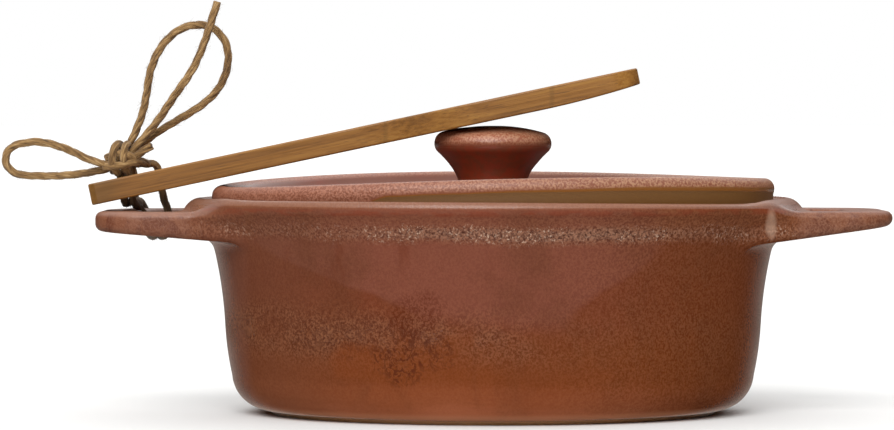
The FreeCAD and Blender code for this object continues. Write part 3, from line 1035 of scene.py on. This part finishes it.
# How the rim warped in the kiln: both sides rise by the arch, and the lip dips and tilts.
# Each span runs from where a rise is absent to where it is full.
OVAL_HALF_WIDTH = 87 * MM
RIM_ARCH = 1.1 * MM
RIM_ARCH_SPAN = (40 * MM, 78 * MM)
LIP_DIP = -0.2 * MM
LIP_TILT = -0.007
LIP_SPAN = (77.5 * MM, 81 * MM)
LIP_END_SPAN = (110 * MM, 95 * MM)

# The two loop handles differ a little. Their plans share the sizes that follow.
HANDLES = {
    "left": {"side": -1, "reach": 151.2, "tip_low": 70.1, "root_low": 65.0, "top": 77.5},
    "right": {"side": 1, "reach": 151.6, "tip_low": 72.2, "root_low": 63.3, "top": 77.7},
}
HANDLE_ROOT = 84.0
HANDLE_ROOT_HALF = 44.0
HANDLE_TIP_HALF = 14.0
HANDLE_CORNER = (5.6, 27.4)
HANDLE_SHOULDER = (19.0, 33.0)
HANDLE_EDGE_ROUND = 2.7
HOLE_CENTRE = 126.0
HOLE_RADIUS = 8.0
HOLE_STRAIGHT = 13.0
FILLET_BELOW = 4.5
FILLET_ABOVE = 10.0
FILLET_CHANGES = (71.0, 76.0)


def handle_plan(reach):
    """Plan of a handle from above, with rounded corners at its tip."""
    corner, corner_half = HANDLE_CORNER
    shoulder, shoulder_half = HANDLE_SHOULDER
    return outline(
        (HANDLE_ROOT, -HANDLE_ROOT_HALF),
        (reach - shoulder, -shoulder_half),
        (reach - corner, -corner_half, reach, -HANDLE_TIP_HALF),
        (reach, HANDLE_TIP_HALF),
        (reach - corner, corner_half, reach - shoulder, shoulder_half),
        (HANDLE_ROOT, HANDLE_ROOT_HALF),
    )


def handle_field(size, x, y, z):
    """Loop handle: a plan with a long hole, and a slab that thins to the tip."""
    reach = size["reach"]
    away = x * size["side"]
    flat = look_up(
        polygon_field(handle_plan(reach), *PLAN_BOX, PLAN_STEP),
        np.broadcast_to(away, (away.shape[0], y.shape[1], 1)),
        np.broadcast_to(y, (away.shape[0], y.shape[1], 1)),
    )
    hole_side = np.maximum(np.abs(y) - HOLE_STRAIGHT, 0)
    hole = np.sqrt((away - HOLE_CENTRE) ** 2 + hole_side**2) - HOLE_RADIUS
    flat = np.maximum(flat, -hole)
    share = (away - HANDLE_ROOT) / (reach - HANDLE_ROOT)
    low = size["root_low"] + (size["tip_low"] - size["root_low"]) * share
    upright = np.maximum(low - z, z - size["top"])
    a = flat + HANDLE_EDGE_ROUND
    b = upright + HANDLE_EDGE_ROUND
    outside = np.sqrt(np.maximum(a, 0) ** 2 + np.maximum(b, 0) ** 2)
    return outside + np.minimum(np.maximum(a, b), 0) - HANDLE_EDGE_ROUND


def dish_rise(x, y, z):
    """How far the dish's fired rim strays from level."""
    arch = RIM_ARCH * (y / OVAL_HALF_WIDTH) ** 2 * smooth_step(z, *RIM_ARCH_SPAN)
    lip = (LIP_DIP + LIP_TILT * x) * smooth_step(z, *LIP_SPAN)
    return arch + lip * smooth_step(np.abs(x), *LIP_END_SPAN)


def make_dish(material):
    x, y, z = grid(*DISH_BOX)
    solid = turned_field(outline(*DISH_OUTSIDE), x, y, z)
    fillet = FILLET_BELOW + (FILLET_ABOVE - FILLET_BELOW) * smooth_step(z, *FILLET_CHANGES)
    for size in HANDLES.values():
        solid = soft_union(solid, handle_field(size, x, y, z), fillet)
    solid = np.maximum(solid, -turned_field(outline(*DISH_CAVITY), x, y, z))
    dish = field_mesh("dish", solid, DISH_BOX[0], dish_rise)
    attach(dish, "dish")
    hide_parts("dish_body", "handle_left", "handle_right")
    dish.data.materials.append(material)


# ---------------------------------------------------------------- lid and spatula

LID_BOX = ((-111.0, -85.0, 74.0), (111.0, 85.0, 113.0))
LID_SEAT_Z = 77.35 * MM
LID_END = 107.7 * MM
LID_SIDE = 81.3 * MM
LID_PROFILE = [
    (0.0, 79.0),
    (94.0, 79.0),
    (97.0, 77.35),
    (107.2, 77.35),
    (107.3, 83.4),
    (107.7, 83.8),
    (107.7, 85.0),
    (106.6, 87.6, 103.6, 88.8),
    (101.7, 88.3, 99.5, 87.1),
    (95.6, 84.8, 91.0, 84.0),
    (22.0, 85.6),
    (0.0, 85.6),
]
KNOB_PROFILE = [
    (0.0, 83.0),
    (15.2, 83.0),
    (15.2, 85.6),
    (13.7, 87.2, 13.3, 89.0),
    (14.5, 92.0, 16.4, 94.8),
    (18.6, 97.4, 21.0, 99.8),
    (22.1, 101.2, 22.5, 103.0),
    (21.6, 105.8, 18.9, 107.5),
    (9.6, 109.4, 0.0, 109.9),
]
KNOB_FILLET = 3.5

# How the lid warped in the kiln, as rises at its right end and its far side: in
# proportion to the way there (tilt, far lift), to its square (droop, arch) or to the
# product of both ways (twist). The sag lowers the rim's outer edge on the left. Each
# span runs from where a rise is absent to where it is full.
LID_TILT = 1.4 * MM
LID_DROOP = -0.3 * MM
LID_FAR_LIFT = 0.3 * MM
LID_ARCH = 2.5 * MM
LID_TWIST = -1.5 * MM
WARP_START_SPAN = (LID_SEAT_Z, 83.4 * MM)
WARP_END_SPAN = (96 * MM, 92 * MM)
LID_SAG = 0.8 * MM
LID_SAG_SPAN = (0.0, -0.9)
SAG_END_SPAN = (87 * MM, 84.2 * MM)

# The knob's left shoulder is a little higher.
KNOB_HIGH_SIDE = 0.35 * MM
KNOB_LEFT_SPAN = (-8 * MM, -16 * MM)
KNOB_SHOULDER_SPAN = (102 * MM, 106 * MM)

# The glaze ends at this height. Left of the span, in shares of LID_END, it crept lower.
LID_GLAZE_LOW = 83.6 * MM
GLAZE_CREEP = 4 * MM
GLAZE_CREEP_SPAN = (-0.36, -0.50)


def lid_rise(x, y, z):
    """How far the lid's fired shape strays from a level oval."""
    along, across = x / LID_END, y / LID_SIDE
    rise = LID_TILT * along + LID_DROOP * along**2
    rise = rise + LID_FAR_LIFT * across + LID_ARCH * across**2
    rise = rise + LID_TWIST * along * across
    sag = LID_SAG * smooth_step(along, *LID_SAG_SPAN) * smooth_step(z, *SAG_END_SPAN)
    warped = smooth_step(z, *WARP_START_SPAN) * smooth_step(z, *WARP_END_SPAN)
    shoulder = smooth_step(x, *KNOB_LEFT_SPAN) * smooth_step(z, *KNOB_SHOULDER_SPAN)
    return (rise - sag) * warped + KNOB_HIGH_SIDE * shoulder


def make_lid(material):
    x, y, z = grid(*LID_BOX)
    solid = turned_field(outline(*LID_PROFILE), x, y, z)
    knob = turned_field(outline(*KNOB_PROFILE), x, y, z, 1.0)
    lid = field_mesh("lid_with_knob", soft_union(solid, knob, KNOB_FILLET), LID_BOX[0], lid_rise)
    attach(lid, "lid_and_knob")
    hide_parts("lid", "lid_knob")
    lid.data.materials.append(material)


def dress_spatula(material):
    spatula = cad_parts["spatula"]
    spatula.data.materials.clear()
    spatula.data.materials.append(material)


# ---------------------------------------------------------------- studio

FLOOR_HALF = 30
FLOOR_COLOUR = (0.84, 0.84, 0.83, 1)
SHEEN = 0.4
SHEEN_COLOUR = (1.0, 0.88, 0.80)
WHITE = (1.0, 1.0, 1.0)

# Wide, soft suns: the way each shines from, its strength and its width in degrees.
SUNS = {
    "sky": ((0, 0, 2), 2.65, 130),
    "back_key": ((0.15, 1.0, 1.0), 0.5, 60),
    "front_key": ((-0.25, -1.2, 0.95), 2.35, 40),
}


def add_sun(name, place, strength, width):
    """A sun aimed at the origin, wide enough to light the whole floor evenly."""
    data = bpy.data.lights.new(name, "SUN")
    data.energy = strength
    data.angle = math.radians(width)
    sun = bpy.data.objects.new(name, data)
    sun.location = place
    sun.rotation_euler = (-Vector(place)).to_track_quat("-Z", "Y").to_euler()
    bpy.context.scene.collection.objects.link(sun)


def make_floor():
    corners = [(-1, -1, 0), (1, -1, 0), (1, 1, 0), (-1, 1, 0)]
    mesh = bpy.data.meshes.new("floor")
    mesh.from_pydata([Vector(c) * FLOOR_HALF for c in corners], [], [(0, 1, 2, 3)])
    material = bpy.data.materials.new("floor")
    n = Nodes(material)
    n.shader.inputs["Base Color"].default_value = FLOOR_COLOUR
    n.shader.inputs["Roughness"].default_value = 0.9
    mesh.materials.append(material)
    floor = bpy.data.objects.new("floor", mesh)
    bpy.context.scene.collection.objects.link(floor)
    floor.visible_glossy = False


def make_backdrop():
    """Plain white to the camera. The glaze mirrors only its far low side, as a sheen."""
    world = bpy.data.worlds.new("backdrop")
    bpy.context.scene.world = world
    world.cycles_visibility.diffuse = False
    n = Nodes(world, "Background", "Generated")
    _, y, z = n.split(n.place)
    low = n.times(n.range(z, 0.02, -0.12), n.range(z, -0.65, -0.35))
    sheen = n.times(n.range(y, 0.45, 1.0), low, SHEEN)
    seen = n.new("ShaderNodeLightPath").outputs["Is Camera Ray"]
    n.feed(n.shader.inputs["Strength"], n.most(seen, sheen))
    n.feed(n.shader.inputs["Color"], n.mix(seen, SHEEN_COLOUR, WHITE))


def make_studio():
    make_floor()
    make_backdrop()
    for name, sun in SUNS.items():
        add_sun(name, *sun)
    bpy.context.scene.view_settings.view_transform = "Standard"


make_camera()
make_twine(jute())
make_dish(dish_glaze())
make_lid(lid_glaze())
dress_spatula(bamboo())
make_studio()
